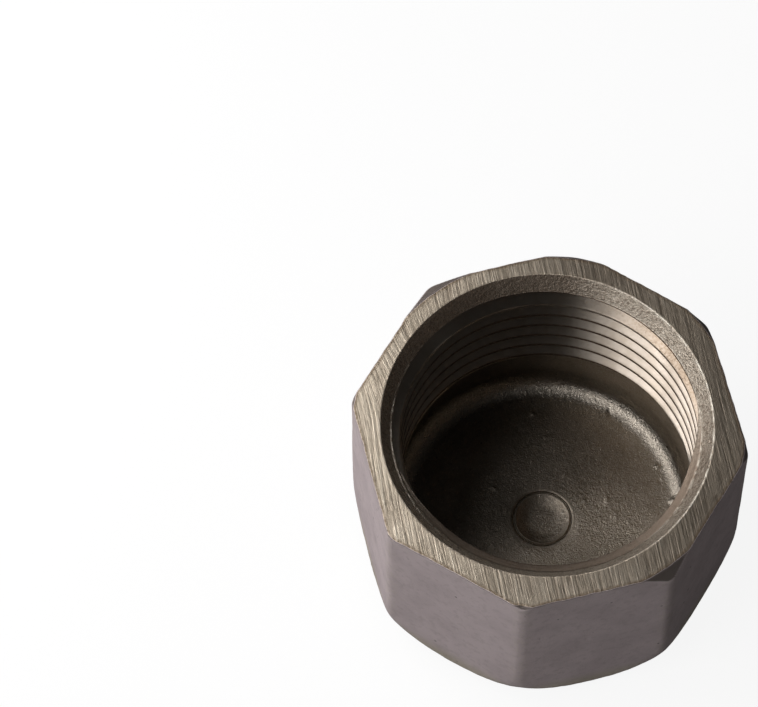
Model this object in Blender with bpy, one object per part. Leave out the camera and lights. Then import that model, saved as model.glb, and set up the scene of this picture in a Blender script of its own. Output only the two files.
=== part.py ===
"""Female-threaded pipe cap, 1 inch size, light-duty (class 150) octagonal pattern.

The cap is one investment casting.  Its mouth face, countersink and pipe thread
are machined; everything else is as cast.

Frame: +Z runs along the thread axis and out of the open mouth.  The origin is
the centre of the closed end's resting plane.  Two pairs of wrench flats face
+X/-X and +Y/-Y.  Dimensions are millimetres, turned into metres when the
vertices are placed.  A "depth" is measured down from the mouth face.
"""
import math

import bmesh
import bpy
from mathutils import Matrix, Vector

MM = 0.001
QUARTER_TURN = math.pi / 2
ROUND_STEPS = 72                # steps per turn of every round shape

# ------------------------------------------------------------ outside sizes
SIDES = 8                       # wrench flats
ACROSS_FLATS = 37.5
CORNER_RADIUS = ACROSS_FLATS / 2.0 / math.cos(math.pi / SIDES)   # of the sharp octagon
HEIGHT = 25.46                  # closed end to mouth face
UPRIGHT_EDGE_RADIUS = 1.5       # rounding of the eight upright edges
UPRIGHT_EDGE_SEGMENTS = 4
END_FLAT_RADIUS = 15.3          # flat part of the closed end
SHOULDER_HEIGHT = 6.6           # where the rounded shoulder dies into the corners
SHOULDER_STEPS = 12
MOUTH_CHAMFER_RADIUS = 19.4     # radius the corner chamfer leaves on the mouth face
MOUTH_CHAMFER_HEIGHT = 0.9      # its height on the corners

# ------------------------------- recessed disc and blank pads, closed end
RECESS_RADIUS = 11.45
RECESS_TAPER = 0.12             # how much smaller the recess floor is
RECESS_DEPTH = 0.85
PAD_WIDTH = 3.3
PAD_LENGTH = 5.6
PAD_CORNER_RADIUS = 1.1
PAD_CORNER_SEGMENTS = 3
PAD_RIM_BEVEL = 0.15            # on the edges of the outward face
PAD_RAISE = 0.55                # above the recess floor
PAD_PITCH = 4.6
PAD_ROW_Y = 3.95
PAD_ROWS = ((4, PAD_ROW_Y), (3, -PAD_ROW_Y))    # pads in the row, row centre on Y

# --------------------------------------------------------------- bore sizes
COUNTERSINK_MOUTH_RADIUS = 16.8
COUNTERSINK_RADIUS = 15.7       # where the countersink ends
COUNTERSINK_DEPTH = 1.58
LEAD_DEPTH = 2.6                # the cone below the countersink reaches the crests here
CREST_RADIUS = 15.146           # thread crests (minor radius)
MACHINED_DEPTH = 15.7           # the bored and threaded length ends here
CAST_WALL_RADIUS = 16.0         # top of the cast wall below the thread
CAST_WALL_STEP = 0.25           # height of the cone from the crests to the cast wall
CAST_WALL_TAPER = 0.1           # radius lost from there to the floor fillet
FLOOR_DEPTH = 23.15
FLOOR_FILLET_RADIUS = 2.55
FLOOR_FILLET_STEPS = 6
FLOOR_RING_RADIUS = 3.0         # fine V groove round the dimple
FLOOR_RING_WIDTH = 0.30
FLOOR_RING_DEPTH = 0.22
DIMPLE_DEPTH = 0.40
DIMPLE_FLAT_RADIUS = 1.35
DIMPLE_STEPS = 4

# --------- thread: 1 inch parallel pipe thread, 11 threads per inch, right hand
THREADS_PER_INCH = 11.0
PITCH = 25.4 / THREADS_PER_INCH
FLANK_HALF_ANGLE = math.radians(27.5)
ROOT_RADIUS = 16.624            # major radius
ROOT_FLAT = 0.34
GROOVE_START_DEPTH = 0.887
GROOVE_END_DEPTH = 14.9
GROOVE_TURNS = (GROOVE_END_DEPTH - GROOVE_START_DEPTH) / PITCH
GROOVE_RUN_IN_TURNS = 1.0
GROOVE_RUN_OUT_TURNS = 0.3
GROOVE_CLEAR_RADIUS = CREST_RADIUS - 0.35   # root radius at both ends, clear of the wall
GROOVE_INNER_RADIUS = CREST_RADIUS - 0.60   # open side of the groove's section

# ---------------- how far the cutting shapes reach past the faces they cut
TURNED_OVERRUN = 1.0            # envelope past the mouth, recess past the closed end
BORE_OVERRUN = 0.8
ENVELOPE_CLEARANCE = 0.4        # outside the corners, between shoulder and chamfer
ENVELOPE_CLEARANCE_RISE = 0.6   # height over which the envelope widens to it
PAD_EMBED = 0.4                 # pad roots sunk into the cap

# ----------------------------------------------------------------- tolerances
MERGE_DISTANCE = 1e-7           # metres
LEVEL_TOLERANCE = 1e-6          # metres
UPRIGHT_EDGE_MIN_RISE = 0.1
SHARP_ANGLE = math.radians(24.0)


# -------------------------------------------------------------------- helpers
def clear_scene():
    for obj in list(bpy.data.objects):
        bpy.data.objects.remove(obj, do_unlink=True)


def object_from(bm, name):
    bmesh.ops.recalc_face_normals(bm, faces=bm.faces)
    mesh = bpy.data.meshes.new(name)
    bm.to_mesh(mesh)
    bm.free()
    obj = bpy.data.objects.new(name, mesh)
    bpy.context.scene.collection.objects.link(obj)
    return obj


def revolve(profile, name):
    """Solid of revolution about Z.  profile holds (radius, height) pairs that
    start and end on the axis."""
    bm = bmesh.new()
    verts = [bm.verts.new((radius * MM, 0.0, z * MM)) for radius, z in profile]
    edges = [bm.edges.new(pair) for pair in zip(verts, verts[1:])]
    bmesh.ops.spin(bm, geom=verts + edges, axis=(0, 0, 1), cent=(0, 0, 0),
                   angle=2.0 * math.pi, steps=ROUND_STEPS, use_merge=True)
    bmesh.ops.remove_doubles(bm, verts=bm.verts, dist=MERGE_DISTANCE)
    return object_from(bm, name)


def arc(centre, radii, start, end, steps):
    """Points of an elliptical arc in the (radius, height) plane."""
    angles = [start + (end - start) * i / steps for i in range(steps + 1)]
    return [(centre[0] + radii[0] * math.cos(angle), centre[1] + radii[1] * math.sin(angle))
            for angle in angles]


def height_at(depth):
    """Z of a depth below the mouth face."""
    return HEIGHT - depth


def bevel(bm, edges, offset, segments):
    bmesh.ops.bevel(bm, geom=edges, affect="EDGES", segments=segments, profile=0.5,
                    offset_type="OFFSET", offset=offset * MM)


def upright_edges(bm, verts):
    """Edges between the given vertices that climb along Z."""
    own = set(verts)
    return [edge for edge in bm.edges
            if own.issuperset(edge.verts)
            and abs(edge.verts[0].co.z - edge.verts[1].co.z) > UPRIGHT_EDGE_MIN_RISE * MM]


def add_boolean(target, tool, operation):
    modifier = target.modifiers.new(name=tool.name, type="BOOLEAN")
    modifier.operation = operation
    modifier.solver = "EXACT"
    modifier.object = tool


def settle(obj):
    """Keep the finished shape as the object's own mesh and drop its cutters, so
    that the sharp edges can be marked on the finished shape."""
    graph = bpy.context.evaluated_depsgraph_get()
    finished = bpy.data.meshes.new_from_object(obj.evaluated_get(graph))
    tools = [modifier.object for modifier in obj.modifiers]
    obj.modifiers.clear()
    finished.name = obj.name
    obj.data = finished
    for tool in tools:
        bpy.data.objects.remove(tool, do_unlink=True)


# ---------------------------------------------------------------- outer solid
def octagonal_prism():
    bm = bmesh.new()
    circle = bmesh.ops.create_circle(
        bm, cap_ends=True, segments=SIDES, radius=CORNER_RADIUS * MM,
        matrix=Matrix.Rotation(math.pi / SIDES, 4, "Z"))
    base = list({face for vert in circle["verts"] for face in vert.link_faces})
    extruded = bmesh.ops.extrude_face_region(bm, geom=base)["geom"]
    top_verts = [item for item in extruded if isinstance(item, bmesh.types.BMVert)]
    bmesh.ops.translate(bm, vec=Vector((0, 0, HEIGHT * MM)), verts=top_verts)
    # the bevel offset is the tangent length of the edge radius
    bevel(bm, upright_edges(bm, bm.verts),
          offset=UPRIGHT_EDGE_RADIUS * math.tan(math.pi / SIDES),
          segments=UPRIGHT_EDGE_SEGMENTS)
    return object_from(bm, "cap_body")


def envelope():
    """Turned shape that rounds the closed end and trims the mouth corners."""
    clear_radius = CORNER_RADIUS + ENVELOPE_CLEARANCE
    chamfer_slope = MOUTH_CHAMFER_HEIGHT / (CORNER_RADIUS - MOUTH_CHAMFER_RADIUS)
    chamfer_foot = HEIGHT - MOUTH_CHAMFER_HEIGHT - ENVELOPE_CLEARANCE * chamfer_slope
    shoulder = arc((END_FLAT_RADIUS, SHOULDER_HEIGHT),
                   (CORNER_RADIUS - END_FLAT_RADIUS, SHOULDER_HEIGHT),
                   -QUARTER_TURN, 0.0, SHOULDER_STEPS)
    profile = [
        (0.0, 0.0),
        *shoulder,
        (clear_radius, SHOULDER_HEIGHT + ENVELOPE_CLEARANCE_RISE),
        (clear_radius, chamfer_foot),
        (MOUTH_CHAMFER_RADIUS, HEIGHT),
        (MOUTH_CHAMFER_RADIUS, HEIGHT + TURNED_OVERRUN),
        (0.0, HEIGHT + TURNED_OVERRUN),
    ]
    return revolve(profile, "envelope")


# ----------------------------------------------------------------- closed end
def recess():
    profile = [
        (0.0, -TURNED_OVERRUN),
        (RECESS_RADIUS, -TURNED_OVERRUN),
        (RECESS_RADIUS - RECESS_TAPER, RECESS_DEPTH),
        (0.0, RECESS_DEPTH),
    ]
    return revolve(profile, "recess")


def add_pad(bm, x, y, low, high):
    centre = Vector((x, y, (low + high) / 2.0))
    size = Vector((PAD_WIDTH, PAD_LENGTH, high - low))
    placement = Matrix.Translation(centre * MM) @ Matrix.Diagonal(size * MM).to_4x4()
    box = bmesh.ops.create_cube(bm, size=1.0, matrix=placement)
    bevel(bm, upright_edges(bm, box["verts"]),
          offset=PAD_CORNER_RADIUS, segments=PAD_CORNER_SEGMENTS)


def pads():
    """Rows of blank raised pads on the floor of the recess."""
    bm = bmesh.new()
    low = RECESS_DEPTH - PAD_RAISE
    high = RECESS_DEPTH + PAD_EMBED
    for count, row_y in PAD_ROWS:
        for i in range(count):
            add_pad(bm, (i - (count - 1) / 2.0) * PAD_PITCH, row_y, low, high)
    # the outward (-Z) faces have bevelled rims
    rim = [edge for edge in bm.edges
           if all(abs(vert.co.z - low * MM) < LEVEL_TOLERANCE for vert in edge.verts)]
    bevel(bm, rim, offset=PAD_RIM_BEVEL, segments=1)
    return object_from(bm, "pads")


# ----------------------------------------------------------------------- bore
def bore():
    countersink_slope = (COUNTERSINK_MOUTH_RADIUS - COUNTERSINK_RADIUS) / COUNTERSINK_DEPTH
    ring_outer = FLOOR_RING_RADIUS + FLOOR_RING_WIDTH / 2.0
    ring_inner = FLOOR_RING_RADIUS - FLOOR_RING_WIDTH / 2.0
    fillet = arc((CAST_WALL_RADIUS - CAST_WALL_TAPER - FLOOR_FILLET_RADIUS,
                  height_at(FLOOR_DEPTH - FLOOR_FILLET_RADIUS)),
                 (FLOOR_FILLET_RADIUS, FLOOR_FILLET_RADIUS),
                 0.0, -QUARTER_TURN, FLOOR_FILLET_STEPS)
    profile = [
        (0.0, height_at(-BORE_OVERRUN)),
        (COUNTERSINK_MOUTH_RADIUS + countersink_slope * BORE_OVERRUN, height_at(-BORE_OVERRUN)),
        (COUNTERSINK_RADIUS, height_at(COUNTERSINK_DEPTH)),
        (CREST_RADIUS, height_at(LEAD_DEPTH)),
        (CREST_RADIUS, height_at(MACHINED_DEPTH)),
        (CAST_WALL_RADIUS, height_at(MACHINED_DEPTH + CAST_WALL_STEP)),
        *fillet,
        (ring_outer, height_at(FLOOR_DEPTH)),
        (FLOOR_RING_RADIUS, height_at(FLOOR_DEPTH + FLOOR_RING_DEPTH)),
        (ring_inner, height_at(FLOOR_DEPTH)),
    ]
    # dished middle: a smooth slope down to a small flat
    for i in range(1, DIMPLE_STEPS + 1):
        share = i / DIMPLE_STEPS
        profile.append((ring_inner + (DIMPLE_FLAT_RADIUS - ring_inner) * share,
                        height_at(FLOOR_DEPTH + DIMPLE_DEPTH * math.sin(share * QUARTER_TURN))))
    profile.append((0.0, height_at(FLOOR_DEPTH + DIMPLE_DEPTH)))
    return revolve(profile, "bore")


# --------------------------------------------------------------------- thread
def groove_root(turn):
    """Root radius of the groove.  It eases in from the bore at the mouth and
    out again where the tool withdraws."""
    ease = min(1.0, turn / GROOVE_RUN_IN_TURNS, (GROOVE_TURNS - turn) / GROOVE_RUN_OUT_TURNS)
    return GROOVE_CLEAR_RADIUS + (ROOT_RADIUS - GROOVE_CLEAR_RADIUS) * max(0.0, ease)


def groove_section(bm, turn):
    """Four vertices of the groove's section after the given number of turns."""
    angle = -2.0 * math.pi * turn          # clockwise going in: right hand
    z = height_at(GROOVE_START_DEPTH + turn * PITCH)
    root = groove_root(turn)
    half_root = ROOT_FLAT / 2.0
    half_inner = half_root + (root - GROOVE_INNER_RADIUS) * math.tan(FLANK_HALF_ANGLE)
    section = ((GROOVE_INNER_RADIUS, half_inner), (root, half_root),
               (root, -half_root), (GROOVE_INNER_RADIUS, -half_inner))
    return [bm.verts.new((radius * math.cos(angle) * MM, radius * math.sin(angle) * MM,
                          (z + rise) * MM))
            for radius, rise in section]


def thread_groove():
    """Helical V-shaped tool path: taken out of the bore it leaves the thread."""
    bm = bmesh.new()
    steps = int(round(GROOVE_TURNS * ROUND_STEPS))
    sections = [groove_section(bm, i / ROUND_STEPS) for i in range(steps + 1)]
    for near, far in zip(sections, sections[1:]):
        for k in range(4):
            following = (k + 1) % 4
            bm.faces.new((near[k], far[k], far[following], near[following]))
    bm.faces.new(sections[0][::-1])
    bm.faces.new(sections[-1])
    return object_from(bm, "thread_groove")


# ------------------------------------------------------------------- material
def cast_stainless():
    steel = bpy.data.materials.new("cast_stainless")
    steel.use_nodes = True
    shader = steel.node_tree.nodes["Principled BSDF"]
    shader.inputs["Base Color"].default_value = (0.42, 0.38, 0.34, 1.0)
    shader.inputs["Roughness"].default_value = 0.5
    shader.inputs["Metallic"].default_value = 1.0
    return steel


# ---------------------------------------------------------------------- build
def build():
    clear_scene()
    body = octagonal_prism()
    add_boolean(body, envelope(), "INTERSECT")
    add_boolean(body, recess(), "DIFFERENCE")
    add_boolean(body, pads(), "UNION")
    add_boolean(body, bore(), "DIFFERENCE")
    add_boolean(body, thread_groove(), "DIFFERENCE")
    settle(body)
    body.data.materials.clear()
    body.data.materials.append(cast_stainless())
    body.data.shade_smooth()
    body.data.set_sharp_from_angle(angle=SHARP_ANGLE)


build()
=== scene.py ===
import math
from types import SimpleNamespace

import bpy
import numpy as np
from mathutils import Matrix, Vector


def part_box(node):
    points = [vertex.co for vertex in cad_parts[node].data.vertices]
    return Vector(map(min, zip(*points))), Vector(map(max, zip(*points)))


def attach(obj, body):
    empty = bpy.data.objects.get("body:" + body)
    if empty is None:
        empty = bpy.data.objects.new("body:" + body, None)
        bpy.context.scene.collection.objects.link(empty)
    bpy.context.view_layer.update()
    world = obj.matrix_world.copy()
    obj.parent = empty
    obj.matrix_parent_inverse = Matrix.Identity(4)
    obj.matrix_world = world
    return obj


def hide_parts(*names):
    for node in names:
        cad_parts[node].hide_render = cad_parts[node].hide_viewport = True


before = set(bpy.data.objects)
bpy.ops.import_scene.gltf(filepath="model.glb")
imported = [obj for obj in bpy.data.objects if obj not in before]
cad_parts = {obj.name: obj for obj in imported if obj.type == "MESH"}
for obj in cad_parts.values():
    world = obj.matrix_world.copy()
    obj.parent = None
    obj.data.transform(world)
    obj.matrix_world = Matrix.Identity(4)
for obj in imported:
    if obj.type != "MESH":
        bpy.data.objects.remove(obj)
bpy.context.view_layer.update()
body_low, body_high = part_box("cap_body")

# ---------------------------------------------------------------- dimensions
# Lengths are in units of 1/38 of the width across flats until the mesh is made.
# Depths are measured down from the mouth.
ACROSS_FLATS = 38.0
UNIT = (body_high.x - body_low.x) / ACROSS_FLATS      # metres in one unit
HEIGHT = (body_high.z - body_low.z) / UNIT
TURN = 2.0 * np.pi
HALF_SECTOR = math.pi / 8                             # from mid flat to corner
APOTHEM = ACROSS_FLATS / 2.0
CORNER_R = APOTHEM / math.cos(HALF_SECTOR)
EDGE_R = 1.5                                          # rounding of the upright edges

# closed end
RECESS_D = 0.85
RECESS_FLOOR_R, RECESS_FILLET = 11.18, 0.26
RECESS_WALL_R, RECESS_LIP = 11.46, 0.22
END_R, SHOULDER = 15.5, 6.7                           # flat end ring; height of the shoulder
PAD_HALF_X, PAD_HALF_Y, PAD_ROUND, PAD_RISE = 1.67, 2.84, 1.1, 0.55
PADS = [(x, 4.0) for x in (-7.0, -2.35, 2.35, 7.0)] + [(x, -4.0) for x in (-4.65, 0.0, 4.65)]

# mouth
TOP_BAND = 2.2                                        # height of the chamfered band
MOUTH_BREAK = 0.07
SINK_R, SINK_D, SINK_FOOT = 17.02, 1.60, 15.90        # countersink: mouth radius, depth, foot
SINK_EDGE_R = SINK_R - 0.035
CROWN = 0.0007                                        # curvature of the face across its marks
FACE_LAY = math.radians(-93.0)                        # direction of the linishing marks

# thread
CREST, ROOT = 15.35, 16.85                            # radii
PITCH = 25.4 / 11.0 * 0.001 / UNIT
GROOVE_AT = 0.90                                      # groove centre on +X, depth
RUN_IN = (1.5, 2.5)                                   # the groove deepens between these depths
FLANK = math.tan(math.radians(27.5))
ROOT_HALF = 0.21

# cast bore
MACHINED = 15.90                                      # depth of the machined length
WALL_R, WALL_TAPER = 16.20, 0.1
FLOOR, FILLET = 23.45, 2.25
RING_R, RING_HALF, RING_D = 3.06, 0.14, 0.19          # fine ring groove in the floor
DIMPLE_D, DIMPLE_FLAT = 0.40, 1.25
BORE_AT = np.array([-0.15, 0.40])                     # the bore is a little off the casting's centre
THREAD_AT = np.array([0.25, 0.36])
FLOOR_AT = BORE_AT * 0.35

COLUMNS = 640                                         # columns round the cap
THETA = 2.0 * np.pi * np.arange(COLUMNS) / COLUMNS
COS, SIN = np.cos(THETA), np.sin(THETA)

# zones of the surface, which are also the material slots
OUTSIDE, FACE, SINK, THREAD, INSIDE = range(5)


def smooth(start, end, x):
    ratio = np.clip((x - start) / (end - start), 0.0, 1.0)
    return ratio * ratio * (3.0 - 2.0 * ratio)


def soft_min(first, second, blend):
    """Smooth minimum: like a small fillet where two surfaces meet."""
    part = np.clip(0.5 + 0.5 * (second - first) / blend, 0.0, 1.0)
    return second * (1 - part) + first * part - blend * part * (1 - part)


def bell(x):
    return np.exp(-x ** 2)


def quarter(count):
    """Sine and cosine at even steps through a quarter turn."""
    return [(math.sin(part * math.pi / 2), math.cos(part * math.pi / 2))
            for part in np.linspace(0, 1, count)]


def angle_off_flat(angle):
    return (angle + np.pi / 8) % (np.pi / 4) - np.pi / 8


def octagon(angle):
    """Radius of the octagon with rounded corners."""
    off_flat = angle_off_flat(angle)
    inset = APOTHEM - EDGE_R
    arc_centre = inset / math.cos(HALF_SECTOR)
    off_corner = HALF_SECTOR - np.abs(off_flat)
    under = EDGE_R ** 2 - (arc_centre * np.sin(off_corner)) ** 2
    arc = arc_centre * np.cos(off_corner) + np.sqrt(np.maximum(under, 0.0))
    tangent = math.atan(math.tan(HALF_SECTOR) * inset / APOTHEM)
    return np.where(np.abs(off_flat) > tangent, arc, APOTHEM / np.cos(off_flat))


OUTLINE = octagon(THETA)
CORNER = (np.degrees(THETA) // 45).astype(int)
# The chamfer survives unevenly, because the mouth is faced slightly out of square.
# Radius left at the mouth, corner by corner from 22.5 degrees on:
CHAMFER_R = np.array([19.72, 19.50, 19.30, 20.22, 20.38, 20.16, 19.52, 20.05])[CORNER]
CHAMFER_SLOPE = np.where(CORNER == 2, 0.95, 1.75)     # height over radius
# On the -Y side the countersink is left wider, as a flatter lip.
LIP = smooth(-0.10, 0.55, np.cos(THETA - math.radians(268)))

rings = []


def ring(x, y, z, zone, count=COLUMNS):
    """Adds a ring; zone is the zone of the band that follows it."""
    points = np.stack([np.broadcast_to(v, (COLUMNS,)).astype(float) for v in (x, y, z)], 1)
    start = rings[-1].start + rings[-1].count if rings else 0
    rings.append(SimpleNamespace(points=points[::COLUMNS // count], count=count,
                                 start=start, zone=zone))


def turned(radius, z, zone, count=COLUMNS, centre=(0.0, 0.0)):
    ring(centre[0] + radius * COS, centre[1] + radius * SIN, z, zone, count)


def columns_for(radius):
    """Fewer columns towards the middle."""
    for limit, divisor in ((0.7, 16), (1.6, 8), (3.2, 4), (6.0, 2)):
        if radius < limit:
            return COLUMNS // divisor
    return COLUMNS


def closed_end():
    for radius in np.concatenate([np.arange(0.12, 2.9, 0.14), np.arange(3.0, 11.1, 0.15)]):
        turned(radius, RECESS_D, OUTSIDE, columns_for(radius))
    for sine, cosine in quarter(5):                   # fillet at the foot of the recess wall
        turned(RECESS_FLOOR_R + RECESS_FILLET * sine,
               RECESS_D - RECESS_FILLET * (1 - cosine), OUTSIDE)
    for z in (0.46, 0.33):
        turned(RECESS_WALL_R, z, OUTSIDE)
    for sine, cosine in quarter(6):                   # lip of the recess
        turned(RECESS_WALL_R + RECESS_LIP * (1 - cosine), RECESS_LIP * (1 - sine), OUTSIDE)
    for radius in np.arange(11.85, END_R - 0.05, 0.17):
        turned(radius, 0.0, OUTSIDE)
    for sine, cosine in quarter(46):                  # rounded shoulder
        radius = soft_min(END_R + (CORNER_R - END_R) * sine, OUTLINE, 0.35)
        turned(radius, SHOULDER * (1 - cosine), OUTSIDE)


def sides():
    for z in np.linspace(SHOULDER + 0.3, HEIGHT - TOP_BAND, 46):
        turned(OUTLINE, z, OUTSIDE)
    for z in np.linspace(HEIGHT - TOP_BAND + 0.1, HEIGHT - MOUTH_BREAK, 18):
        turned(soft_min(OUTLINE, CHAMFER_R + (HEIGHT - z) / CHAMFER_SLOPE, 0.05), z, OUTSIDE)
    for sine, cosine in quarter(3):                   # slight break of the mouth edge
        turned(face_edge - MOUTH_BREAK * (1 - cosine), HEIGHT - MOUTH_BREAK * (1 - sine),
               FACE if sine == 1.0 else OUTSIDE)


def mouth_face():
    inner_r, outer_r = SINK_R + 0.05, face_edge - MOUTH_BREAK
    for part in np.linspace(0, 1, 20)[1:]:
        ring(outer_r * COS * (1 - part) + (BORE_AT[0] + inner_r * COS) * part,
             outer_r * SIN * (1 - part) + (BORE_AT[1] + inner_r * SIN) * part,
             HEIGHT, FACE if part < 1 else SINK)


def countersink_cone():
    turned(SINK_R, HEIGHT - 0.02, SINK, centre=BORE_AT)
    turned(SINK_EDGE_R, HEIGHT - 0.07, SINK, centre=BORE_AT)
    for part in np.linspace(0, 1, 10)[1:]:
        turned(SINK_EDGE_R + (SINK_FOOT + 0.04 - SINK_EDGE_R) * part,
               HEIGHT - 0.07 - (SINK_D - 0.14) * part, SINK, centre=BORE_AT)
    turned(SINK_FOOT + 0.008, HEIGHT - SINK_D, SINK, centre=BORE_AT)
    for part in (0.25, 0.5, 0.75, 0.94, 1.0):         # foot and lip
        turned(SINK_FOOT - (0.02 + 0.90 * LIP) * part,
               HEIGHT - SINK_D - (0.03 + 0.26 * LIP) * part ** 1.3,
               SINK if part < 1 else THREAD, centre=BORE_AT)


def cast_wall_and_floor():
    turned(CREST + 0.05, HEIGHT - MACHINED - 0.04, INSIDE, centre=THREAD_AT)
    turned(WALL_R - 0.06, HEIGHT - MACHINED - 0.14, INSIDE, centre=BORE_AT)
    turned(WALL_R, HEIGHT - MACHINED - 0.30, INSIDE, centre=BORE_AT)
    for depth in np.linspace(MACHINED + 0.55, FLOOR - FILLET, 14):
        taper = WALL_TAPER * (depth - MACHINED) / (FLOOR - FILLET - MACHINED)
        turned(WALL_R - taper, HEIGHT - depth, INSIDE, centre=BORE_AT)
    floor_r = WALL_R - WALL_TAPER - FILLET
    for sine, cosine in quarter(19)[1:]:
        turned(floor_r + FILLET * cosine, HEIGHT - FLOOR + FILLET - FILLET * sine, INSIDE,
               centre=BORE_AT)
    radius = floor_r - 0.2
    while radius > RING_R + RING_HALF + 0.12:
        # the middle of the floor is centred nearer the casting's axis than the bore is
        shift = smooth(floor_r, 8.0, radius)
        turned(radius, HEIGHT - FLOOR, INSIDE, columns_for(radius),
               centre=BORE_AT * (1 - shift) + FLOOR_AT * shift)
        radius -= 0.2


def floor_middle():
    for part in np.linspace(-1, 1, 9):                # ring groove
        turned(RING_R - part * RING_HALF,
               HEIGHT - FLOOR - RING_D * (0.5 + 0.5 * math.cos(part * math.pi)), INSIDE,
               COLUMNS // 2, centre=FLOOR_AT)
    rim_r = RING_R - RING_HALF
    for part in np.linspace(0, 1, 15)[1:]:            # side of the dimple
        radius = rim_r + (DIMPLE_FLAT - rim_r) * part
        turned(radius, HEIGHT - FLOOR - DIMPLE_D * math.sin(part * math.pi / 2), INSIDE,
               columns_for(radius), centre=FLOOR_AT)
    for radius in (1.05, 0.85, 0.65, 0.45, 0.28, 0.12):
        turned(radius, HEIGHT - FLOOR - DIMPLE_D, INSIDE, columns_for(radius), centre=FLOOR_AT)


face_edge = soft_min(OUTLINE, CHAMFER_R, 0.05)
closed_end()
sides()
mouth_face()
countersink_cone()
thread_top = rings[-1]
turned(CREST, HEIGHT - MACHINED, INSIDE, centre=THREAD_AT)
thread_bottom = rings[-1]
cast_wall_and_floor()
floor_middle()

# ------------------------------------------------------------ join the rings
faces, face_zones = [], []


def stitch(first, second):
    """Faces between two rings whose column counts are equal or differ by two."""
    if first.count == second.count:
        here = np.arange(first.count)
        after = (here + 1) % first.count
        quads = np.stack([first.start + here, second.start + here,
                          second.start + after, first.start + after], 1)
        faces.extend(quads.tolist())
        face_zones.extend([first.zone] * first.count)
        return
    flip = second.count < first.count
    fine, coarse = (first, second) if flip else (second, first)
    for j in range(coarse.count):
        fine_0, fine_1 = fine.start + 2 * j, fine.start + 2 * j + 1
        fine_2 = fine.start + (2 * j + 2) % (2 * coarse.count)
        coarse_0, coarse_1 = coarse.start + j, coarse.start + (j + 1) % coarse.count
        for tri in ([coarse_0, fine_0, fine_1], [coarse_0, fine_1, coarse_1],
                    [coarse_1, fine_1, fine_2]):
            faces.append(tri[::-1] if flip else tri)
            face_zones.append(first.zone)


for first_ring, second_ring in zip(rings, rings[1:]):
    if first_ring is not thread_top:
        stitch(first_ring, second_ring)


# -------------------------------------------------------------------- thread
# Rows follow the helix, so that the crest edges stay sharp.  Rows that would lie above or
# below the zone end on its first or last ring.
def groove_rows(groove):
    """Offsets from the groove centre and rise over the crest, for one pitch."""
    half_width = ROOT_HALF + groove * FLANK
    # offset, rise (None: on the flank)
    half = [((PITCH / 2 + half_width) / 2, 0.0), (half_width + 0.06, 0.004), (half_width, 0.02),
            (half_width - 0.045, 0.07), (half_width - 0.12, None), (half_width * 0.68, None),
            (half_width * 0.42, None), (ROOT_HALF + 0.03, None), (0.08, None)]
    rows = []
    for offset, rise in [(-PITCH / 2, 0.0)] + [(-o, r) for o, r in half] + half[::-1]:
        if rise is None:
            rise = np.maximum((half_width - np.abs(offset)) / FLANK, 0.0)
        rows.append((offset, np.minimum(rise, groove)))
    return rows


row_depth, row_rise = [], []
for n in range(-1, int(math.ceil((MACHINED - GROOVE_AT) / PITCH)) + 3):
    groove_centre = GROOVE_AT - PITCH * THETA / (2 * np.pi) + n * PITCH
    for offset, rise in groove_rows((ROOT - CREST) * smooth(*RUN_IN, groove_centre)):
        row_depth.append(groove_centre + offset)
        row_rise.append(rise)
row_rise = np.array(row_rise)
# keep the order where the groove is shallow
row_depth = np.maximum.accumulate(np.array(row_depth), axis=0)
row_depth += 0.0002 * np.arange(len(row_depth))[:, None]

zone_top, zone_bottom = SINK_D + 0.04 + 0.26 * LIP, MACHINED - 0.02
inside = (row_depth > zone_top + 0.01) & (row_depth < zone_bottom - 0.01)
thread_start = rings[-1].start + rings[-1].count
thread_count = int(inside.sum())
top_ids = thread_top.start + np.arange(COLUMNS)
bottom_ids = thread_bottom.start + np.arange(COLUMNS)
ids = np.full(row_depth.shape, -1, dtype=np.int64)
ids[inside] = thread_start + np.arange(thread_count)
ids = np.where(row_depth <= zone_top + 0.01, top_ids[None, :],
               np.where(row_depth >= zone_bottom - 0.01, bottom_ids[None, :], ids))

lead_in = (SINK_FOOT - CREST) * (1 - smooth(1.7, 3.5, row_depth))
radius = np.minimum(CREST + lead_in + row_rise, ROOT)
ease_in = smooth(zone_top, zone_top + 0.25 + 0.9 * LIP, row_depth)
ease_out = smooth(zone_bottom - 0.15, zone_bottom, row_depth)
radius = (SINK_FOOT - 0.02 - 0.90 * LIP) * (1 - ease_in) + radius * ease_in
radius = radius * (1 - ease_out) + CREST * ease_out
drift = smooth(1.6, 3.4, row_depth)                   # from the bore's centre to the thread's
thread_x = BORE_AT[0] * (1 - drift) + THREAD_AT[0] * drift + radius * COS[None, :]
thread_y = BORE_AT[1] * (1 - drift) + THREAD_AT[1] * drift + radius * SIN[None, :]
thread_z = HEIGHT - row_depth

rows_per_pitch = len(groove_rows(np.zeros(1)))
for k in range(COLUMNS):
    left = ids[:, k]
    if k < COLUMNS - 1:
        right = ids[:, k + 1]
    else:
        # after a whole turn each row meets the row one pitch nearer the mouth
        right = np.concatenate([np.full(rows_per_pitch, top_ids[0]), ids[:-rows_per_pitch, 0]])
    for i in range(len(ids) - 1):
        loop = [left[i], left[i + 1], right[i + 1], right[i]]
        clean = [int(v) for j, v in enumerate(loop) if v != loop[j - 1]]
        if len(clean) >= 3 and len(set(clean)) == len(clean):
            faces.append(clean)
            face_zones.append(THREAD)

faces = [f[::-1] for f in faces]                      # outwards

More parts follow.
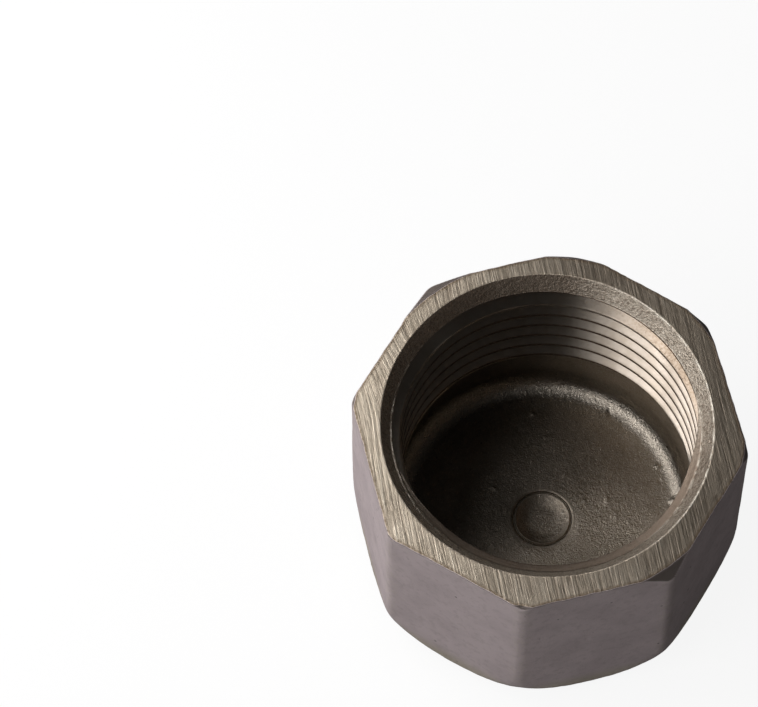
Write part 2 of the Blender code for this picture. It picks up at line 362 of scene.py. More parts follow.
# the two poles
verts = np.concatenate([item.points for item in rings]
                       + [np.stack([thread_x[inside], thread_y[inside], thread_z[inside]], 1),
                          [[0.0, 0.0, RECESS_D], [*FLOOR_AT, HEIGHT - FLOOR - DIMPLE_D]]])
for item, pole, zone in ((rings[0], len(verts) - 2, OUTSIDE), (rings[-1], len(verts) - 1, INSIDE)):
    for j in range(item.count):
        tri = [pole, item.start + j, item.start + (j + 1) % item.count]
        faces.append(tri[::-1] if zone == OUTSIDE else tri)
        face_zones.append(zone)


def build_mesh(points):
    mesh = bpy.data.meshes.new("cap_surface")
    mesh.from_pydata((points * UNIT).tolist(), [], faces)
    mesh.polygons.foreach_set("material_index", np.array(face_zones, dtype=np.int32))
    mesh.validate()
    mesh.update()
    return mesh


# --------------------------------------------------------------------- noise
def lattice(ix, iy, iz, seed):
    bits = (ix.astype(np.int64) * 73856093) ^ (iy.astype(np.int64) * 19349663) \
        ^ (iz.astype(np.int64) * 83492791) ^ (seed * 668265263)
    bits = (bits ^ (bits >> 13)) & 0xFFFFFFFF
    bits = (bits * 1274126177) & 0xFFFFFFFF
    bits = bits ^ (bits >> 16)
    bits = (bits * 668265261) & 0xFFFFFFFF
    bits = bits ^ (bits >> 15)
    return (bits & 0xFFFFFF) / float(0xFFFFFF) * 2.0 - 1.0


def value_noise(points, size, seed):
    """Smooth value noise, about -1 to 1.  size is the cell."""
    scaled = points / size + 1000.0
    cell = np.floor(scaled)
    part = scaled - cell
    part = part * part * part * (part * (part * 6 - 15) + 10)
    total = 0.0
    for i in (0, 1):
        weight_x = part[:, 0] if i else 1 - part[:, 0]
        for j in (0, 1):
            weight_y = part[:, 1] if j else 1 - part[:, 1]
            for k in (0, 1):
                weight_z = part[:, 2] if k else 1 - part[:, 2]
                total = total + weight_x * weight_y * weight_z * lattice(
                    cell[:, 0] + i, cell[:, 1] + j, cell[:, 2] + k, seed)
    return total


def ripple(size, seed, octaves=2, stretch=(1, 1, 1)):
    """Noise at every vertex; each octave has half the size and half the strength."""
    points = verts * stretch
    total, strength, strengths = 0.0, 1.0, 0.0
    for n in range(octaves):
        total = total + strength * value_noise(points, size / 2 ** n, seed + 17 * n)
        strengths += strength
        strength *= 0.5
    return total / strengths


# ------------------------------------------------- which vertex belongs where
zone_of = np.concatenate([np.full(item.count, item.zone) for item in rings]
                         + [np.full(thread_count, THREAD), [OUTSIDE, INSIDE]])
outside, face, sink, thread, bore = (zone_of == zone for zone in range(5))
X, Y, Z = verts[:, 0], verts[:, 1], verts[:, 2]
DEPTH = HEIGHT - Z
AXIS_R = np.hypot(X, Y)
BORE_R = np.hypot(X - BORE_AT[0], Y - BORE_AT[1])
ANGLE = np.arctan2(Y, X)
DEG = np.degrees(ANGLE) % 360


def only(mask, values):
    return np.where(mask, values, 0.0)


def around(values):
    """Takes values given per column to the vertices."""
    return np.interp(ANGLE % TURN, THETA, values, period=TURN)


def hump(x, y, size, rise_squared=0.0):
    """Gaussian about a place; rise_squared adds the distance in height."""
    return np.exp(-((X - x) ** 2 + (Y - y) ** 2 + rise_squared) / (2 * size ** 2))


# blank raised pads on the floor of the recess
recess_floor = outside & (Z > RECESS_D - 0.3) & (Z < RECESS_D + 0.01) & (AXIS_R < 11.3)
pad = np.zeros(len(verts))
for x, y in PADS:
    past_x = np.abs(X - x) - (PAD_HALF_X - PAD_ROUND)
    past_y = np.abs(Y - y) - (PAD_HALF_Y - PAD_ROUND)
    distance = np.hypot(np.maximum(past_x, 0), np.maximum(past_y, 0)) \
        + np.minimum(np.maximum(past_x, past_y), 0) - PAD_ROUND
    pad = np.maximum(pad, 1 - smooth(-0.16, 0.12, distance))
pad = only(recess_floor, pad)

# worn edges outside, and painted highlights on the mouth: along the face's inner edge and the
# countersink's top on the lit +X side, and along the countersink foot
end_mask = only(outside, 1 - smooth(SHOULDER * 0.30, SHOULDER * 0.78, Z))
upright = only(outside, smooth(0.80, 0.97, np.abs(angle_off_flat(ANGLE)) / (np.pi / 8)))
rim = only(outside | face, smooth(HEIGHT - 0.5, HEIGHT - 0.02, Z))
# the +X side, where the light falls on the mouth's inner edges; it weights the painted highlights
# there and the height of the burr on the face
lit_side = smooth(0.25, 0.85, np.cos(ANGLE + math.radians(8)))
foot_burr = bell((DEG - 176) / 38.0)
# painted highlight along the countersink foot: full at about 176 degrees, half on the lit side
foot_highlight = np.maximum(0.5 * lit_side, foot_burr)
wear_and_highlight = np.maximum.reduce([
    upright * smooth(SHOULDER * 0.5, SHOULDER, Z) * (1 - rim) * 0.6,
    only(face, lit_side * (1 - smooth(0.0, 0.22, BORE_R - SINK_R))),
    only(sink, lit_side * smooth(HEIGHT - 0.2, HEIGHT, Z)),
    only(sink, foot_highlight * smooth(0.12, 0.04, np.abs(BORE_R - SINK_FOOT - 0.02))),
    only(recess_floor | (outside & (AXIS_R < 12) & (Z < 0.3)),
         np.maximum(pad * (1 - pad) * 4, smooth(11.2, 11.7, AXIS_R)))])

# how far a face point is from an edge: for the brown line along the outer edge, and for a painted
# shadow line along the inner edge, which fades out on the lit +X side
from_edge = around(face_edge) - AXIS_R
face_in = np.where(face, np.minimum(from_edge, 0.10 + 1.8 * (BORE_R - SINK_R) + 0.6 * lit_side), 5.0)

# painted shade on the corner chamfers, which lie in shade under the edge of the face, and a dark
# line along the top edge of the sides
chamfer = np.maximum(
    only(outside & (Z > HEIGHT - TOP_BAND), smooth(0.02, 0.09, around(OUTLINE) - AXIS_R)),
    only(outside, 0.85 * smooth(HEIGHT - 0.20, HEIGHT - 0.09, Z)))
lip_foot = around(LIP) * smooth(SINK_D - 0.04, SINK_D + 0.02, DEPTH)

# painted shade on the crest flats, standing in for their dark reflection of the bore floor; it grows
# with depth
crest_flat = np.zeros(len(verts))
crest_flat[thread_start:thread_start + thread_count] = (1 - smooth(0.015, 0.10, row_rise))[inside]
crest_shade = only(thread, crest_flat * smooth(1.9, 6.5, DEPTH))

# linishing marks: lay_across runs across them, lay_along along them
lay_across = X * math.cos(FACE_LAY + math.pi / 2) + Y * math.sin(FACE_LAY + math.pi / 2)
lay_along = X * math.cos(FACE_LAY) + Y * math.sin(FACE_LAY)

# ------------------------------------------------------------ surface relief
# `push` moves each vertex along its normal.
mesh = build_mesh(verts)
normals = np.zeros(len(verts) * 3, dtype=np.float32)
mesh.vertices.foreach_get("normal", normals)
normals = normals.reshape(-1, 3).astype(float)
bpy.data.meshes.remove(mesh)

# cast skin outside, coarser on the closed end, fading at the mouth
push = only(outside, 0.045 * ripple(size=7.0, seed=3) + 0.012 * ripple(size=1.3, seed=11))
push += only(outside, end_mask * (0.030 * ripple(size=1.5, seed=23)
                                  + 0.020 * ripple(size=0.62, seed=29)))
push *= np.where(outside, 1 - smooth(HEIGHT - 0.9, HEIGHT - 0.1, Z) * 0.85, 1.0)

# scars on the recess floor: x, y, size, height
RECESS_SCARS = [
    (-4.9, -0.4, 0.55, 0.09), (2.6, 0.7, 0.35, -0.10), (8.3, -3.1, 0.5, 0.07),
    (-8.6, -2.9, 0.4, -0.09), (5.4, 8.3, 0.35, 0.07), (-1.2, 8.6, 0.3, -0.07),
    (0.9, -8.4, 0.45, 0.06)]
for x, y, size, rise in RECESS_SCARS:
    push += only(recess_floor, hump(x, y, size * 0.5) * rise)

# a chip out of one corner of the mouth
CHIP_R, CHIP_ANGLE, CHIP_SIZE, CHIP_D = 20.05, math.radians(247.0), 0.30, 0.16
push -= only(outside, CHIP_D * hump(CHIP_R * math.cos(CHIP_ANGLE), CHIP_R * math.sin(CHIP_ANGLE),
                                    CHIP_SIZE, 0.6 * (Z - HEIGHT) ** 2))

# pinholes in the cast skin of the sides: degrees from +X, height, size
PINHOLE_D = 0.10
PINHOLES = [(226, 11.5, 0.22), (231, 17.2, 0.16), (268, 14.1, 0.18), (214, 8.9, 0.2),
            (187, 13.0, 0.2), (150, 10.1, 0.22), (96, 15.4, 0.2), (42, 12.2, 0.2),
            (318, 17.6, 0.16)]
for degrees, z, size in PINHOLES:
    angle = math.radians(degrees)
    reach = float(np.interp(angle, THETA, OUTLINE))
    push -= only(outside, hump(reach * math.cos(angle), reach * math.sin(angle), size,
                               (Z - z) ** 2) * PINHOLE_D)

# cast bore: grainy wall, rougher fillet, uneven floor
cast_in = bore & (DEPTH > MACHINED + 0.5)
floor_pt = bore & (DEPTH > FLOOR - 0.25)
fillet_soft = only(cast_in & (DEPTH > FLOOR - FILLET - 0.3), smooth(12.2, 14.2, BORE_R))
from_ring = np.hypot(X - FLOOR_AT[0], Y - FLOOR_AT[1])
away = np.maximum(smooth(3.3, 4.2, from_ring), 0.7 * smooth(2.75, 2.3, from_ring))
rough_patch = np.exp(-(((X - 4.5) / 6.5) ** 2 + ((Y + 6.0) / 6.0) ** 2))
push += only(cast_in, 0.012 * ripple(size=1.1, seed=41))
push += fillet_soft * 0.022 * ripple(size=0.7, seed=53)
push += only(floor_pt, away * (0.004 + 0.030 * rough_patch) * ripple(size=0.55, seed=59))
push += only(floor_pt, away * 0.020 * ripple(size=3.2, seed=61))

# nodules and pits on the floor: x, y, size in x, size in y, height
FLOOR_NODULES = [
    (2.1, 12.3, 0.20, 0.20, 0.20), (10.2, 10.3, 0.24, 0.45, -0.22), (10.45, 10.5, 0.12, 0.3, 0.10),
    (13.2, 7.2, 0.30, 0.18, -0.18), (13.5, 3.0, 0.25, 0.22, 0.22), (13.2, 1.3, 0.15, 0.28, -0.16),
    (14.0, -1.3, 0.34, 0.25, 0.26), (7.2, 0.5, 0.16, 0.55, 0.15), (7.6, -1.6, 0.14, 0.5, 0.12),
    (4.8, 1.0, 0.20, 0.20, 0.16), (2.9, 9.2, 0.60, 0.10, 0.10), (5.9, 2.6, 0.14, 0.14, 0.10),
    (8.3, 6.6, 0.13, 0.13, 0.09), (3.6, 4.4, 0.15, 0.15, 0.10), (-4.1, 4.7, 0.2, 0.15, 0.1),
    (6.1, 0.1, 0.3, 0.3, -0.10), (11.6, 4.4, 0.12, 0.12, 0.1), (9.2, -3.3, 0.2, 0.3, 0.1),
    (-2.0, -5.4, 0.4, 0.25, 0.12), (1.5, -5.8, 0.3, 0.3, 0.12)]
for x, y, size_x, size_y, rise in FLOOR_NODULES:
    nodule = np.exp(-((X - x) ** 2 / (1.1 * size_x ** 2) + (Y - y) ** 2 / (1.1 * size_y ** 2)))
    push += only(floor_pt, nodule * rise * 0.6)

# machined surfaces: torn countersink, uneven thread, burr on the edge of the face
push += only(sink, 0.016 * ripple(size=0.55, seed=71, stretch=(1, 1, 0.4))
             * smooth(HEIGHT, HEIGHT - 0.3, Z) * (1 - 0.7 * lip_foot))
push += only(thread, 0.005 * ripple(size=0.5, seed=73))
push += only(face, bell((BORE_R - SINK_R - 0.05) / 0.10)) * (0.25 + 0.75 * lit_side) \
    * (0.018 + 0.03 * np.maximum(ripple(size=0.9, seed=79), 0))
push += only(face, 0.006 * ripple(size=0.8, seed=83, octaves=1))

moved = verts + normals * push[:, None]
# burr the thread tool threw up at the foot of the countersink
moved[:, 2] += only(sink | thread, foot_burr * bell((BORE_R - SINK_FOOT - 0.02) / 0.045)
                    * smooth(SINK_D + 0.035, SINK_D + 0.02, DEPTH)
                    * (0.25 + 0.09 * ripple(size=1.7, seed=151)))
moved[:, 2] -= PAD_RISE * pad
# the face is very slightly crowned across its marks
moved[:, 2] -= CROWN * lay_across ** 2 * smooth(HEIGHT - 2.2, HEIGHT - 0.3, Z) \
    * (face | outside | sink)
# slight unevenness of the outer edge of the mouth face
ragged = only((face | outside) & (Z > HEIGHT - 0.12) & (from_edge < 0.25),
              0.05 * ripple(size=0.7, seed=89) + 0.03 * ripple(size=2.3, seed=97, octaves=1))
moved[:, 0] += np.cos(ANGLE) * ragged
moved[:, 1] += np.sin(ANGLE) * ragged
# the closed end stands on its ring: nothing reaches below the resting plane
moved[:, 2] = np.maximum(moved[:, 2], 0.0)

mesh = build_mesh(moved)
cap = bpy.data.objects.new("cap_surface", mesh)
bpy.context.scene.collection.objects.link(cap)
mesh.shade_smooth()

# ------------------------------------------------- attributes for the materials
# painted shade on the face: darker and browner towards the +X side, plus darker patches: degrees
# from +X, width, strength
FACE_DARK_PATCHES = [(246, 26, 0.62), (292, 24, 0.30), (62, 16, 0.42), (130, 14, 0.20),
               (312, 12, 0.25), (358, 15, 0.22)]
face_shade_and_patches = smooth(-14.0, 15.0, X + 0.15 * Y + 1.5 * ripple(size=6.0, seed=131))
for degrees, width, strength in FACE_DARK_PATCHES:
    face_shade_and_patches += strength * bell(((DEG - degrees + 180) % 360 - 180) / width)

# painted shade in the mouth and bore, darker towards -X and +Y, the side the rim keeps in shadow; on
# the countersink and the fillet it is given by degrees from +X
SINK_SHADE_AT = (0, 50, 60, 70, 90, 110, 150, 170, 190, 210, 240, 300, 332, 352, 360)
SINK_SHADE = (.04, 0, .40, .88, .86, .98, .92, .60, .25, .06, 0, .10, .58, .24, .04)
FILLET_SHADE_AT = (0, 20, 45, 70, 90, 110, 150, 200, 320, 360)
FILLET_SHADE = (0, .26, .46, .66, .98, 1.20, 0.9, .5, 0, 0)
# painted shade and painted light on the floor: x, y, size, strength (negative is lighter)
FLOOR_SHADE = [(-4.2, 1.8, 3.4, 0.60), (5.2, 2.2, 3.4, 0.22), (3.5, -6.0, 4.0, -0.12),
              (-7.6, 7.4, 3.0, -0.35)]
bore_shade = smooth(-6.0, 13.0, -0.70 * X + 0.55 * Y + 1.2 * ripple(size=5.0, seed=137))
# painted shade on the cast wall above the fillet
bore_shade = np.maximum(bore_shade, only(cast_in, 0.55 * smooth(FLOOR - 1.0, FLOOR - 3.2, DEPTH)))
bore_shade = np.where(sink, np.interp(DEG, SINK_SHADE_AT, SINK_SHADE), bore_shade)
# less painted shade on the thread at about 166 degrees
bore_shade = np.where(thread, bore_shade * (1 - 0.75 * bell((DEG - 166) / 14)), bore_shade)
fillet_shade = np.interp(DEG, FILLET_SHADE_AT, FILLET_SHADE)
bore_shade = np.where(cast_in, np.maximum(bore_shade, fillet_soft * fillet_shade), bore_shade)
for x, y, size, strength in FLOOR_SHADE:
    bore_shade += only(floor_pt, strength * hump(x, y, size))

# the linishing marks lean over on the -X +Y side
lean = 0.26 * hump(-12.5, 12.5, 5.5) * (Y - 10.0)
ATTRIBUTES = {
    "lay_s": lay_across + lean + 0.12 * ripple(size=9.0, seed=101),
    "lay_t": lay_along,
    "end_mask": end_mask,
    "wear_and_highlight": wear_and_highlight,
    "face_in": face_in,
    "chamfer": chamfer,
    "lip": only(sink | thread, lip_foot),
    "crest_shade": crest_shade,
    "under": only(thread, 1 - smooth(1.75, 2.15, DEPTH)),     # line under the countersink
    "fillet": fillet_soft,
    "pitted": np.where(floor_pt, 0.12 + rough_patch * away, 0.10),
    "face_shade_and_patches": only(face, face_shade_and_patches),
    "tan": only(thread, (1 - smooth(3.0, 6.5, DEPTH)) * bell(((DEG + 90) % 360 - 106) / 30)),
    "bore_shade": bore_shade,
}
for name, values in ATTRIBUTES.items():
    layer = mesh.attributes.new(name, "FLOAT", "POINT")
    layer.data.foreach_set("value", np.ascontiguousarray(values, dtype=np.float32))


# ----------------------------------------------------------------- materials
class Metal:
    """Short-hand for building a node material.  Lengths are millimetres."""

    def __init__(self, name):
        self.material = bpy.data.materials.new(name)
        self.material.use_nodes = True
        self.tree = self.material.node_tree
        self.shader = self.tree.nodes["Principled BSDF"]
        coords = self.tree.nodes.new("ShaderNodeTexCoord")
        self.place = self.scaled(coords.outputs["Object"], (1000, 1000, 1000))

    def put(self, socket, value):
        if isinstance(value, bpy.types.NodeSocket):
            self.tree.links.new(value, socket)
        elif isinstance(value, tuple) and len(value) == 3 and socket.type == "RGBA":
            socket.default_value = (*value, 1.0)
        else:
            socket.default_value = value

    def node(self, kind, *values):
        """A new node with its first inputs filled."""
        node = self.tree.nodes.new("ShaderNode" + kind)
        for socket, value in zip(node.inputs, values):
            self.put(socket, value)
        return node

    def scaled(self, vector, factors):
        node = self.node("VectorMath", vector, factors)
        node.operation = "MULTIPLY"
        return node.outputs[0]

    def math(self, operation, *values):
        node = self.node("Math", *values)
        node.operation = operation
        return node.outputs[0]

    def times(self, value, factor):
        return self.math("MULTIPLY", value, factor)

    def add(self, total, *values):
        for value in values:
            total = self.math("ADD", total, value)
        return total

    def xyz(self, x, y, z):
        return self.node("CombineXYZ", x, y, z).outputs[0]

    def split(self, vector):
        return self.node("SeparateXYZ", vector).outputs[:3]

    def attr(self, name):
        node = self.node("Attribute")
        node.attribute_name = name
        return node.outputs["Fac"]

    def noise(self, scale=1.0, detail=3.0, rough=0.6, distortion=0.0, at=None):
        node = self.node("TexNoise")
        self.put(node.inputs["Vector"], at or self.place)
        node.inputs["Scale"].default_value = scale
        node.inputs["Detail"].default_value = detail
        node.inputs["Roughness"].default_value = rough
        node.inputs["Distortion"].default_value = distortion
        return node.outputs["Fac"]

    def ramp(self, value, span, out=(0.0, 1.0)):
        """Smooth step from out[0] to out[1] as value crosses span."""
        node = self.node("MapRange", value, *span, *out)
        node.interpolation_type = "SMOOTHSTEP"
        return node.outputs[0]

    def specks(self, scale, above, edge):
        """Round spots in the cells whose random value is above a threshold."""
        node = self.node("TexVoronoi")
        self.put(node.inputs["Vector"], self.place)
        node.inputs["Scale"].default_value = scale
        chosen = self.math("GREATER_THAN", self.split(node.outputs["Color"])[0], above)
        return self.times(chosen, self.ramp(node.outputs["Distance"], span=edge, out=(1.0, 0.0)))

    def tint(self, base, to, by, amount=None):
        """Mixes base towards a colour by a mask, times an amount if given."""
        if amount is not None:
            by = self.times(by, amount)
        node = self.node("Mix")
        node.data_type = "RGBA"
        self.put(node.inputs[0], by)
        self.put(node.inputs[6], base)
        self.put(node.inputs[7], to)
        return node.outputs[2]

    def brushed(self, amount):
        """Turning marks run round the axis, so highlights spread along it."""
        node = self.node("Tangent")
        node.direction_type = "RADIAL"
        node.axis = "Z"
        self.put(self.shader.inputs["Anisotropic"], amount)
        self.put(self.shader.inputs["Anisotropic Rotation"], 0.25)
        self.put(self.shader.inputs["Tangent"], node.outputs[0])

    def turning_marks(self, across, around):
        """Noise drawn out round the axis; across and around are its scales."""
        x, y, z = self.split(self.place)
        radius = self.math("SQRT", self.add(self.times(x, x), self.times(y, y)))
        unit_x, unit_y = self.math("DIVIDE", x, radius), self.math("DIVIDE", y, radius)
        height = self.add(z, self.times(radius, 0.35))
        return self.noise(at=self.xyz(self.times(height, across), self.times(unit_x, around),
                                      self.times(unit_y, around)))

    def finish(self, colour, rough, height, metallic=1.0):
        bump = self.node("Bump")
        bump.inputs["Strength"].default_value = 1.0
        bump.inputs["Distance"].default_value = 0.001
        self.put(bump.inputs["Height"], height)
        for name, value in (("Base Color", colour), ("Roughness", rough),
                            ("Metallic", metallic), ("Normal", bump.outputs[0])):
            self.put(self.shader.inputs[name], value)
        return self.material


# In each material, roughness and height are sums of textures times their weights.
def cast_outside():
    mat = Metal("cast_outside")
    end_light = (0.62, 0.55, 0.46)
    end = mat.attr("end_mask")
    cloud = mat.noise(scale=0.22, rough=0.55)
    mottle = mat.noise(scale=1.3)
    grain = mat.noise(scale=4.2, detail=2.0)
    fine = mat.noise(scale=9.0, detail=1.0, rough=0.5)
    sides = mat.tint((0.605, 0.512, 0.522), to=(0.68, 0.578, 0.588),
                     by=mat.ramp(cloud, span=(0.36, 0.64)))
    sides = mat.tint(sides, to=(0.46, 0.385, 0.385),
                     by=mat.ramp(mottle, span=(0.48, 0.70)), amount=0.42)
    sides = mat.tint(sides, to=(0.78, 0.70, 0.705),
                     by=mat.ramp(fine, span=(0.35, 0.7)), amount=0.16)
    ends = mat.tint((0.54, 0.475, 0.395), to=end_light, by=mat.ramp(cloud, span=(0.35, 0.65)))
    ends = mat.tint(ends, to=(0.36, 0.30, 0.24),
                    by=mat.ramp(grain, span=(0.5, 0.7)), amount=0.35)
    colour = mat.tint(sides, to=ends, by=end)
    # on the outside the mask holds only worn edges
    patchy = mat.ramp(mat.noise(scale=1.9, rough=0.65), span=(0.40, 0.62))
    worn = mat.times(mat.attr("wear_and_highlight"), patchy)
    colour = mat.tint(colour, to=end_light, by=worn, amount=0.45)
    speck = mat.specks(scale=0.55, above=0.62, edge=(0.05, 0.10))
    colour = mat.tint(colour, to=(0.11, 0.085, 0.075), by=speck, amount=0.75)
    # painted shade on the corner chamfers, and the dark line at the top edge of the sides
    colour = mat.tint(colour, to=(0.10, 0.08, 0.065), by=mat.attr("chamfer"), amount=0.9)
    rough = mat.add(0.52, mat.times(mottle, 0.14), mat.times(end, -0.06))
    coarse = mat.times(mat.noise(scale=2.2, detail=2.0, rough=0.5), end)
    height = mat.add(mat.times(grain, 0.020), mat.times(fine, 0.006),
                     mat.times(coarse, 0.055), mat.times(speck, -0.03))
    return mat.finish(colour, rough, height, metallic=0.30)


def linished_face():
    mat = Metal("linished_face")
    dark = (0.33, 0.255, 0.185)
    lay_s, lay_t = mat.attr("lay_s"), mat.attr("lay_t")

    def streaks(across, along, layer, detail=2.0, distortion=0.0):
        place = mat.xyz(mat.times(lay_s, across), mat.times(lay_t, along), layer)
        return mat.noise(at=place, detail=detail, distortion=distortion)

    bands = streaks(across=1.75, along=0.07, layer=0.0, distortion=0.05)
    lines = streaks(across=4.4, along=0.13, layer=4.0, detail=3.0, distortion=0.05)
    hair = streaks(across=13.0, along=0.32, layer=9.0)
    cloud = mat.noise(scale=0.42)
    spots = mat.noise(scale=2.3, rough=0.65)
    colour = mat.tint((0.78, 0.662, 0.521), to=(0.885, 0.762, 0.611),
                      by=mat.ramp(cloud, span=(0.35, 0.65)))
    colour = mat.tint(colour, to=dark, by=mat.ramp(bands, span=(0.50, 0.32)), amount=0.30)
    colour = mat.tint(colour, to=dark, by=mat.ramp(lines, span=(0.50, 0.35)), amount=0.44)
    colour = mat.tint(colour, to=(0.95, 0.88, 0.75),
                      by=mat.ramp(lines, span=(0.55, 0.72)), amount=0.5)
    colour = mat.tint(colour, to=dark, by=mat.ramp(spots, span=(0.58, 0.75)), amount=0.4)
    # painted shade on the face, darker towards +X, and the darker patches
    colour = mat.tint(colour, to=(0.20, 0.16, 0.125), by=mat.attr("face_shade_and_patches"), amount=0.53)
    # brown line along the outer edge, and painted shadow along the inner edge away from the light
    brown_edge_and_shadow = mat.times(mat.ramp(mat.attr("face_in"), span=(0.10, 0.58), out=(1.0, 0.0)),
                      mat.ramp(spots, span=(0.30, 0.60), out=(0.45, 1.0)))
    colour = mat.tint(colour, to=(0.16, 0.108, 0.066), by=brown_edge_and_shadow, amount=0.78)
    # painted highlight along the face's inner edge on the lit side
    patchy = mat.ramp(mat.noise(scale=1.1, detail=2.0), span=(0.40, 0.60))
    colour = mat.tint(colour, to=(0.80, 0.74, 0.64), by=mat.attr("wear_and_highlight"), amount=patchy)
    rough = mat.add(0.30, mat.times(lines, 0.20), mat.times(brown_edge_and_shadow, 0.15))
    height = mat.add(mat.times(bands, 0.031), mat.times(lines, 0.035),
                     mat.times(hair, 0.014), mat.times(spots, 0.022))
    return mat.finish(colour, rough, height)


def countersink():
    mat = Metal("countersink")
    marks = mat.turning_marks(across=7.0, around=3.5)
    torn = mat.noise(scale=3.0, rough=0.75)
    patch = mat.noise(scale=0.6)
    colour = mat.tint((0.49, 0.42, 0.345), to=(0.58, 0.505, 0.42),
                      by=mat.ramp(patch, span=(0.35, 0.65)))
    colour = mat.tint(colour, to=(0.21, 0.165, 0.125),
                      by=mat.ramp(torn, span=(0.50, 0.64)), amount=0.7)
    colour = mat.tint(colour, to=(0.74, 0.68, 0.60),
                      by=mat.ramp(torn, span=(0.42, 0.30)), amount=0.6)
    # painted shade
    colour = mat.tint(colour, to=(0.115, 0.080, 0.056), by=mat.attr("bore_shade"), amount=0.80)
    lip = mat.attr("lip")
    colour = mat.tint(colour, to=(0.22, 0.165, 0.125), by=lip, amount=0.85)
    # painted highlights along the countersink's top and foot
    patchy = mat.ramp(mat.noise(scale=1.1, detail=2.0), span=(0.38, 0.58))
    colour = mat.tint(colour, to=(0.82, 0.76, 0.66), by=mat.attr("wear_and_highlight"), amount=patchy)
    rough = mat.add(0.40, mat.times(torn, 0.22), mat.times(lip, -0.06))
    height = mat.add(mat.times(marks, 0.030),
                     mat.times(torn, mat.add(0.150, mat.times(lip, -0.125))))
    return mat.finish(colour, rough, height)


def cut_thread():
    mat = Metal("cut_thread")
    tan = mat.attr("tan")
    marks = mat.turning_marks(across=9.0, around=5.0)
    grain = mat.noise(scale=4.0)
    patch = mat.noise(at=mat.scaled(mat.place, (1.0, 1.0, 0.6)), scale=0.45, distortion=0.3)
    colour = mat.tint((0.44, 0.375, 0.31), to=(0.50, 0.435, 0.37),
                      by=mat.ramp(patch, span=(0.36, 0.62)))
    stain = mat.times(mat.ramp(patch, span=(0.60, 0.70)),
                      mat.ramp(grain, span=(0.35, 0.6), out=(0.3, 1.0)))
    colour = mat.tint(colour, to=(0.36, 0.275, 0.205), by=stain, amount=0.35)
    colour = mat.tint(colour, to=(0.31, 0.225, 0.155), by=tan,
                      amount=mat.ramp(grain, span=(0.30, 0.60), out=(0.55, 1.0)))
    colour = mat.tint(colour, to=(0.16, 0.12, 0.09), by=tan,
                      amount=mat.ramp(grain, span=(0.58, 0.64), out=(0.0, 0.8)))
    colour = mat.tint(colour, to=(0.42, 0.33, 0.25),
                      by=mat.ramp(marks, span=(0.50, 0.36)), amount=0.16)
    # painted shade
    colour = mat.tint(colour, to=(0.12, 0.10, 0.08), by=mat.attr("bore_shade"), amount=0.40)
    # painted shade on the crest flats
    crest_shaded = mat.times(mat.attr("crest_shade"), mat.ramp(grain, span=(0.25, 0.55), out=(0.75, 1.0)))
    colour = mat.tint(colour, to=(0.09, 0.06, 0.042), by=crest_shaded)
    rust = mat.times(mat.attr("under"), mat.ramp(grain, span=(0.35, 0.55), out=(0.3, 1.0)))
    colour = mat.tint(colour, to=(0.19, 0.10, 0.055), by=rust, amount=0.85)
    rough = mat.add(0.26, mat.times(grain, 0.12), mat.times(crest_shaded, 0.25))
    height = mat.add(mat.times(marks, 0.005), mat.times(grain, 0.004))
    mat.brushed(amount=0.85)
    return mat.finish(colour, rough, height)


def cast_bore():
    mat = Metal("cast_bore")
    dark = (0.13, 0.10, 0.08)
    fillet, pitted = mat.attr("fillet"), mat.attr("pitted")
    cloud = mat.noise(scale=0.30)
    grain = mat.noise(scale=3.2, rough=0.65)
    fine = mat.noise(scale=7.5, detail=2.0)
    colour = mat.tint((0.30, 0.250, 0.197), to=(0.36, 0.303, 0.245),
                      by=mat.ramp(cloud, span=(0.35, 0.65)))
    colour = mat.tint(colour, to=dark, by=mat.ramp(grain, span=(0.52, 0.70)), amount=0.5)
    colour = mat.tint(colour, to=(0.46, 0.40, 0.33),
                      by=mat.ramp(fine, span=(0.50, 0.68)), amount=0.35)
    # painted highlight: the fillet's colour is lightened
    colour = mat.tint(colour, to=(0.56, 0.52, 0.46), by=fillet, amount=0.30)
    colour = mat.tint(colour, to=(0.56, 0.50, 0.42), by=pitted, amount=0.22)
    speck = mat.specks(scale=0.8, above=0.70, edge=(0.06, 0.12))
    colour = mat.tint(colour, to=(0.05, 0.038, 0.03), by=speck, amount=0.7)
    colour = mat.tint(colour, to=dark, by=mat.times(fillet, 0.26),
                      amount=mat.ramp(fine, span=(0.54, 0.40)))
    # painted glints: bright specks in the colour all over the bore, more on the fillet and the
    # pitted floor
    glint = mat.specks(scale=4.2, above=0.45, edge=(0.14, 0.30))
    shine = mat.times(glint, mat.add(0.30, mat.times(fillet, 0.16), mat.times(pitted, 0.25)))
    colour = mat.tint(colour, to=(0.82, 0.77, 0.68), by=shine)
    # painted shade
    colour = mat.tint(colour, to=(0.05, 0.047, 0.038), by=mat.attr("bore_shade"), amount=0.56)
    rough = mat.add(0.33, mat.times(grain, 0.12), mat.times(fillet, -0.09),
                    mat.times(shine, -0.12))
    grain_height = mat.add(0.010, mat.times(fillet, 0.028), mat.times(pitted, 0.175))
    fine_height = mat.add(0.014, mat.times(fillet, 0.014), mat.times(pitted, 0.090))
    height = mat.add(mat.times(grain, grain_height), mat.times(fine, fine_height))
    return mat.finish(colour, rough, height)


for make in (cast_outside, linished_face, countersink, cut_thread, cast_bore):
    mesh.materials.append(make())

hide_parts("cap_body")
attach(cap, "root")


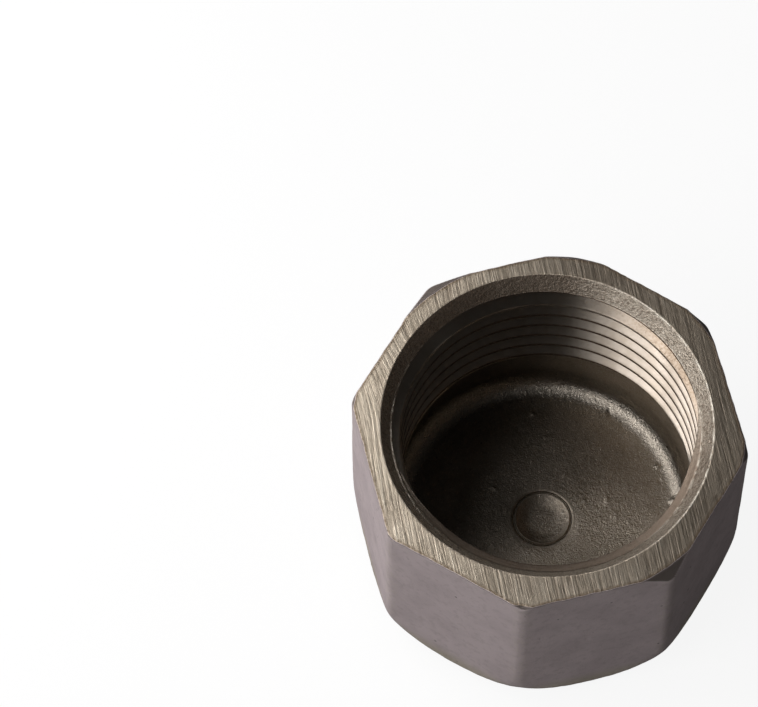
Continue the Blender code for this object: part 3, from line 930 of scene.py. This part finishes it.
# ------------------------------------------------------------------- staging
def floor_material():
    """Pale to the camera, darker to other rays, so the cap's sides keep their depth."""
    material = bpy.data.materials.new("floor_pale")
    material.use_nodes = True
    tree = material.node_tree
    tree.nodes.remove(tree.nodes["Principled BSDF"])

    def shader(kind, **values):
        node = tree.nodes.new("ShaderNode" + kind)
        for name, value in values.items():
            node.inputs[name].default_value = value
        return node

    def mix(first, second):
        node = tree.nodes.new("ShaderNodeMixShader")
        tree.links.new(first.outputs[0], node.inputs[1])
        tree.links.new(second.outputs[0], node.inputs[2])
        return node

    path = shader("LightPath")
    pale = shader("BsdfDiffuse", Color=(0.85, 0.85, 0.85, 1))
    glow = shader("Emission", Color=(1, 1, 1, 1), Strength=1.02)
    seen = mix(pale, glow)
    seen.inputs[0].default_value = 0.88               # share of the glow
    both = mix(shader("BsdfDiffuse", Color=(0.10, 0.095, 0.09, 1)), seen)
    tree.links.new(path.outputs["Is Camera Ray"], both.inputs[0])
    tree.links.new(both.outputs[0], tree.nodes["Material Output"].inputs["Surface"])
    return material


bpy.ops.mesh.primitive_plane_add(size=4.0, location=(0, 0, -0.00002))
floor = bpy.context.object
floor.name = "floor"
floor.data.materials.append(floor_material())

world = bpy.data.worlds.new("studio")
bpy.context.scene.world = world
world.use_nodes = True
background = world.node_tree.nodes["Background"]
background.inputs["Color"].default_value = (1, 1, 1, 1)
background.inputs["Strength"].default_value = 0.030

AIM_HEIGHT = 0.015                                    # metres


def softbox(name, azimuth, elevation, distance, size, radiance):
    """Square area light aimed at the cap.  radiance is what the cap sees."""
    turn, tilt = math.radians(azimuth), math.radians(elevation)
    toward = Vector((math.cos(turn) * math.cos(tilt), math.sin(turn) * math.cos(tilt),
                     math.sin(tilt)))
    data = bpy.data.lights.new(name, "AREA")
    data.shape = "SQUARE"
    data.size = size
    data.energy = radiance * math.pi * size * size
    light = bpy.data.objects.new(name, data)
    light.location = toward * distance + Vector((0, 0, AIM_HEIGHT))
    light.rotation_mode = "QUATERNION"
    light.rotation_quaternion = toward.to_track_quat("Z", "Y")
    light.visible_camera = False
    bpy.context.scene.collection.objects.link(light)


# name, azimuth from +X and elevation in degrees, distance and size in metres, radiance
SOFTBOXES = [
    ("key_side", 140, 30, 0.13, 0.10, 2.80),
    ("key_front", 200, 30, 0.13, 0.10, 0.47),
    ("bank_1", 220, 45, 0.6, 0.25, 1.60),
    ("bank_2", 200, 45, 0.6, 0.25, 2.95),
    ("bank_3", 180, 45, 0.6, 0.25, 1.49),
    ("high_1", 160, 58, 0.6, 0.25, 1.83),
    ("high_2", 140, 58, 0.6, 0.25, 1.19),
    ("high_3", 200, 58, 0.6, 0.25, 0.36),
    ("back_1", 120, 45, 0.6, 0.25, 0.80),
    ("back_2", 100, 45, 0.6, 0.25, 1.00),
    ("low_1", 225, 8, 0.6, 0.25, 0.75),
    ("low_2", 207, 8, 0.6, 0.25, 1.20),
    ("fill_right", 322, 4, 0.6, 0.12, 3.6),
    ("fill_front", 280, 4, 0.6, 0.12, 1.3),
]
for row in SOFTBOXES:
    softbox(*row)

# -------------------------------------------------------------------- camera
cam_data = bpy.data.cameras.new("camera")
cam = bpy.data.objects.new("camera", cam_data)
bpy.context.scene.collection.objects.link(cam)
cam_data.sensor_width = 36.0
cam_data.sensor_fit = "HORIZONTAL"
cam_data.lens = 226.807
cam_data.clip_start = 0.01
cam_data.clip_end = 10.0
right = Vector((0.97019149, -0.24233151, -0.0019798))
up = Vector((0.21892156, 0.87290592, 0.43601447))
place = Vector((-66.0137, -195.9365, 468.3020)) * UNIT
columns = zip(right, up, right.cross(up), place)
cam.matrix_world = Matrix((*columns, (0, 0, 0, 1)))
bpy.context.scene.camera = cam
bpy.context.scene.view_settings.view_transform = "Standard"
